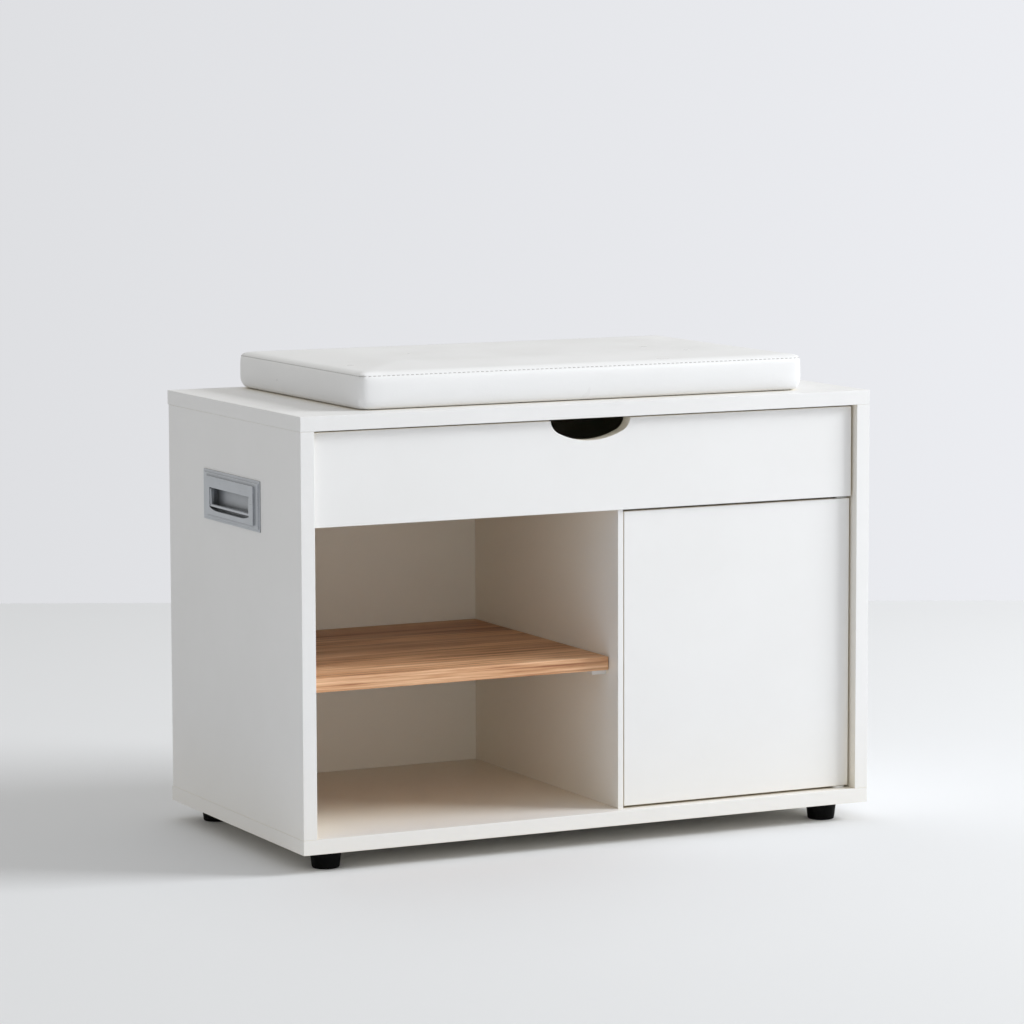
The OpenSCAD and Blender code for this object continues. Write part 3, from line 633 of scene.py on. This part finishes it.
cushionSpec = {"corner": 0.0075, "topEdge": 0.0050, "lowEdge": 0.003, "smaller": 0.0004, "topSmaller": 0.0012,
               "voxel": 0.0040, "pressure": 4.0, "frames": 20, "cap": 0.0040, "rise": 0.085,
               "seamDrop": 0.0046, "seamWidth": 0.0008, "seamDeep": 0.0005, "seamBand": 0.0036,
               "heldBase": 0.0012, "seamHold": 0.75, "sideShare": 0.7,
               "cornerSeam": 0.012, "cornerShare": 0.6, "cornerWide": 1.6, "fadeBelow": 0.002,
               "smoothing": 9, "tuck": 0.0022, "tuckHigh": 0.012, "tuckReach": 0.022, "fill": 0.85}
stitchSpec = {"long": 0.0033, "step": 0.0055, "radius": 0.00040, "sides": 6, "proud": 0.00005}


def smoothStep(value):
    value = min(1.0, max(0.0, value))
    return value * value * (3 - 2 * value)


def makeBlock(low, high, corner, topEdge, lowEdge):
    bpy.ops.mesh.primitive_cube_add(size=1, location=(low + high) / 2, scale=high - low)
    block = bpy.context.object
    bpy.ops.object.transform_apply(location=True, rotation=True, scale=True)
    upright = lambda edge: abs((edge.verts[0].co - edge.verts[1].co).normalized().z) > 0.9
    selectEdges(block, upright)
    bpy.ops.mesh.bevel(offset=corner, segments=6, affect="EDGES")
    for level, width in ((high.z, topEdge), (low.z, lowEdge)):
        selectEdges(block, lambda edge: all(abs(v.co.z - level) < 0.0001 for v in edge.verts))
        bpy.ops.mesh.bevel(offset=width, segments=4, affect="EDGES")
    bpy.ops.object.mode_set(mode="OBJECT")
    return block


def inflate(piece, spec, seamLevel, low, high):
    rest = [v.co.copy() for v in piece.data.vertices]
    held = piece.vertex_groups.new(name="held")
    for vertex in piece.data.vertices:
        onBase = vertex.co.z < low.z + spec["heldBase"]
        atSeam = abs(vertex.co.z - seamLevel) < spec["voxel"] * 0.5
        if onBase or atSeam:
            held.add([vertex.index], 1.0 if onBase else spec["seamHold"], "REPLACE")
    take(piece)
    bpy.ops.object.modifier_add(type="CLOTH")
    cloth = piece.modifiers[-1]
    cloth.settings.quality = 5
    cloth.settings.mass = 0.3
    cloth.settings.tension_stiffness = 15
    cloth.settings.compression_stiffness = 15
    cloth.settings.bending_stiffness = 2.0
    cloth.settings.use_pressure = True
    cloth.settings.uniform_pressure_force = spec["pressure"]
    cloth.settings.effector_weights.gravity = 0
    cloth.settings.vertex_group_mass = "held"
    cloth.point_cache.frame_end = spec["frames"]
    for step in range(1, spec["frames"] + 1):
        scene.frame_set(step)
    take(piece)
    bpy.ops.object.modifier_apply(modifier=cloth.name)
    scene.frame_set(1)
    for vertex, start in zip(piece.data.vertices, rest):
        move = vertex.co - start
        inside = min(start.x - low.x, high.x - start.x, start.y - low.y, high.y - start.y)
        onTop = start.z > seamLevel and inside > spec["topEdge"]
        share = smoothStep(inside / spec["rise"]) if onTop else spec["sideShare"]  # a crown, not a step
        limit = spec["cap"] * share
        if move.length > limit:
            vertex.co = start + move.normalized() * limit
        vertex.co.z = max(vertex.co.z, low.z)


def sewSeams(piece, spec, seamLevel, low, high):
    bpy.ops.object.mode_set(mode="EDIT")
    bpy.ops.mesh.select_mode(type="FACE")
    bpy.ops.mesh.select_all(action="DESELECT")
    shape = bmesh.from_edit_mesh(piece.data)
    for face in shape.faces:
        middle = face.calc_center_median()
        if abs(middle.z - seamLevel) < spec["seamBand"]:
            face.select_set(True)
    bmesh.update_edit_mesh(piece.data)
    bpy.ops.mesh.subdivide(number_cuts=2)
    bpy.ops.object.mode_set(mode="OBJECT")
    centre = (low + high) / 2
    half = (high - low) / 2
    normals = [v.normal.copy() for v in piece.data.vertices]
    for vertex, out in zip(piece.data.vertices, normals):
        place = vertex.co
        away = Vector((abs(place.x - centre.x), abs(place.y - centre.y)))
        toCorner = Vector((half.x - away.x, half.y - away.y))
        sink = spec["seamDeep"] * math.exp(-((place.z - seamLevel) / spec["seamWidth"]) ** 2)
        across = abs(toCorner.x - toCorner.y) / math.sqrt(2)
        below = smoothStep((seamLevel - place.z) / spec["fadeBelow"])
        if toCorner.length < spec["cornerSeam"]:
            fade = math.exp(-(across / (spec["cornerWide"] * spec["seamWidth"])) ** 2)
            sink += spec["cornerShare"] * spec["seamDeep"] * below * fade
        out.z = 0
        if out.length > 0.3:
            vertex.co -= out.normalized() * sink
        near = smoothStep(1 - toCorner.length / spec["tuckReach"])  # the corners are tucked in at the base
        lowShare = smoothStep(1 - (place.z - low.z) / spec["tuckHigh"])
        pull = spec["tuck"] * near * lowShare
        inward = Vector((centre.x - place.x, centre.y - place.y, 0)).normalized()
        vertex.co += Vector((math.copysign(pull, inward.x), math.copysign(pull, inward.y), 0))


def makeCushion(spec):
    cadCushionLow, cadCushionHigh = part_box("cushion_cover")
    low = cadCushionLow + Vector((spec["smaller"], spec["smaller"], 0.0))
    high = cadCushionHigh - Vector((spec["smaller"], spec["smaller"], spec["topSmaller"]))
    seamLevel = high.z - spec["seamDrop"]
    piece = makeBlock(low, high, spec["corner"], spec["topEdge"], spec["lowEdge"])
    applyModifier(piece, "REMESH", mode="VOXEL", voxel_size=spec["voxel"])
    inflate(piece, spec, seamLevel, low, high)
    applyModifier(piece, "SMOOTH", factor=0.5, iterations=spec["smoothing"])  # takes out small dents
    applyModifier(piece, "SUBSURF", levels=1, render_levels=1)
    take(piece)
    sewSeams(piece, spec, seamLevel, low, high)
    bpy.ops.object.shade_smooth()
    setDown(piece, "cushionCover", finishes["white_leather"], "cushion", "white_leather", "cushion_cover")
    return piece, seamLevel, low, high


def seamPath(low, high, corner, step):  # evenly spaced places round a rectangle with round corners
    centre = (low + high) / 2
    halfX, halfY = (high.x - low.x) / 2 - corner, (high.y - low.y) / 2 - corner
    arc = corner * math.pi / 2
    runs = [2 * halfX, arc, 2 * halfY, arc, 2 * halfX, arc, 2 * halfY, arc]
    count = int(sum(runs) / step)
    for k in range(count):
        along = k * sum(runs) / count
        leg = 0
        while along > runs[leg]:
            along -= runs[leg]
            leg += 1
        quarter = leg // 2
        turn = -math.pi / 2 + quarter * math.pi / 2
        halfRun, offset = (halfX, halfY) if quarter % 2 == 0 else (halfY, halfX)
        outward = Vector((math.cos(turn), math.sin(turn), 0))
        forward = Vector((-math.sin(turn), math.cos(turn), 0))
        if leg % 2 == 0:
            yield centre + outward * (offset + corner) + forward * (along - halfRun), outward
        else:
            swing = along / corner
            way = outward * math.cos(swing) + forward * math.sin(swing)
            yield centre + outward * offset + forward * halfRun + way * corner, way


def makeStitches(cover, seamLevel, low, high, spec):
    tree = BVHTree.FromObject(cover, bpy.context.evaluated_depsgraph_get())
    bpy.ops.mesh.primitive_cylinder_add(vertices=spec["sides"], radius=spec["radius"], depth=spec["long"])
    model = bpy.context.object
    selectEdges(model, lambda edge: abs(edge.verts[0].co.z - edge.verts[1].co.z) < 0.0001)
    bpy.ops.mesh.bevel(offset=spec["radius"] * 0.55, segments=1, affect="EDGES")
    bpy.ops.object.mode_set(mode="OBJECT")
    stitches = []
    for place, way in seamPath(low, high, cushionSpec["corner"], spec["step"]):
        start = Vector((place.x, place.y, seamLevel)) + way * 0.03
        hit = tree.ray_cast(start, -way)[0]
        stitch = model.copy()
        stitch.data = model.data.copy()
        scene.collection.objects.link(stitch)
        stitch.location = hit + way * spec["proud"]
        stitch.rotation_mode = "QUATERNION"
        stitch.rotation_quaternion = way.cross(Vector((0, 0, 1))).to_track_quat("Z", "X")
        stitches.append(stitch)
    bpy.data.objects.remove(model)
    deselect()
    for stitch in stitches:
        stitch.select_set(True)
    bpy.context.view_layer.objects.active = stitches[0]
    bpy.ops.object.join()
    piece = bpy.context.object
    bpy.ops.object.shade_smooth()
    return setDown(piece, "cushionStitching", shadedThread, "cushion", "white_leather")


foamSpec = {"side": 0.008, "base": 0.003, "top": 0.009, "corner": 0.016, "topEdge": 0.006, "lowEdge": 0.003}


def makeFoam(spec):
    low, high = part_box("cushion_foam")
    side = spec["side"]
    piece = makeBlock(low + Vector((side, side, spec["base"])), high - Vector((side, side, spec["top"])),
                      spec["corner"], spec["topEdge"], spec["lowEdge"])
    bpy.ops.object.shade_smooth_by_angle(angle=math.radians(40))
    return setDown(piece, "cushionFoam", finishes["foam"], "cushion", "foam", "cushion_foam")


cover, seamLevel, coverLow, coverHigh = makeCushion(cushionSpec)
makeStitches(cover, seamLevel, coverLow, coverHigh, stitchSpec)
makeFoam(foamSpec)
print("cushion sewn:", len(cover.data.polygons), "faces")

deselect()
ahead = addCamera(cameraSpec)
addStage(stageSpec, ahead)
addLights(stageSpec, ahead)
scene.view_settings.view_transform = "Standard"

print("scene ready")
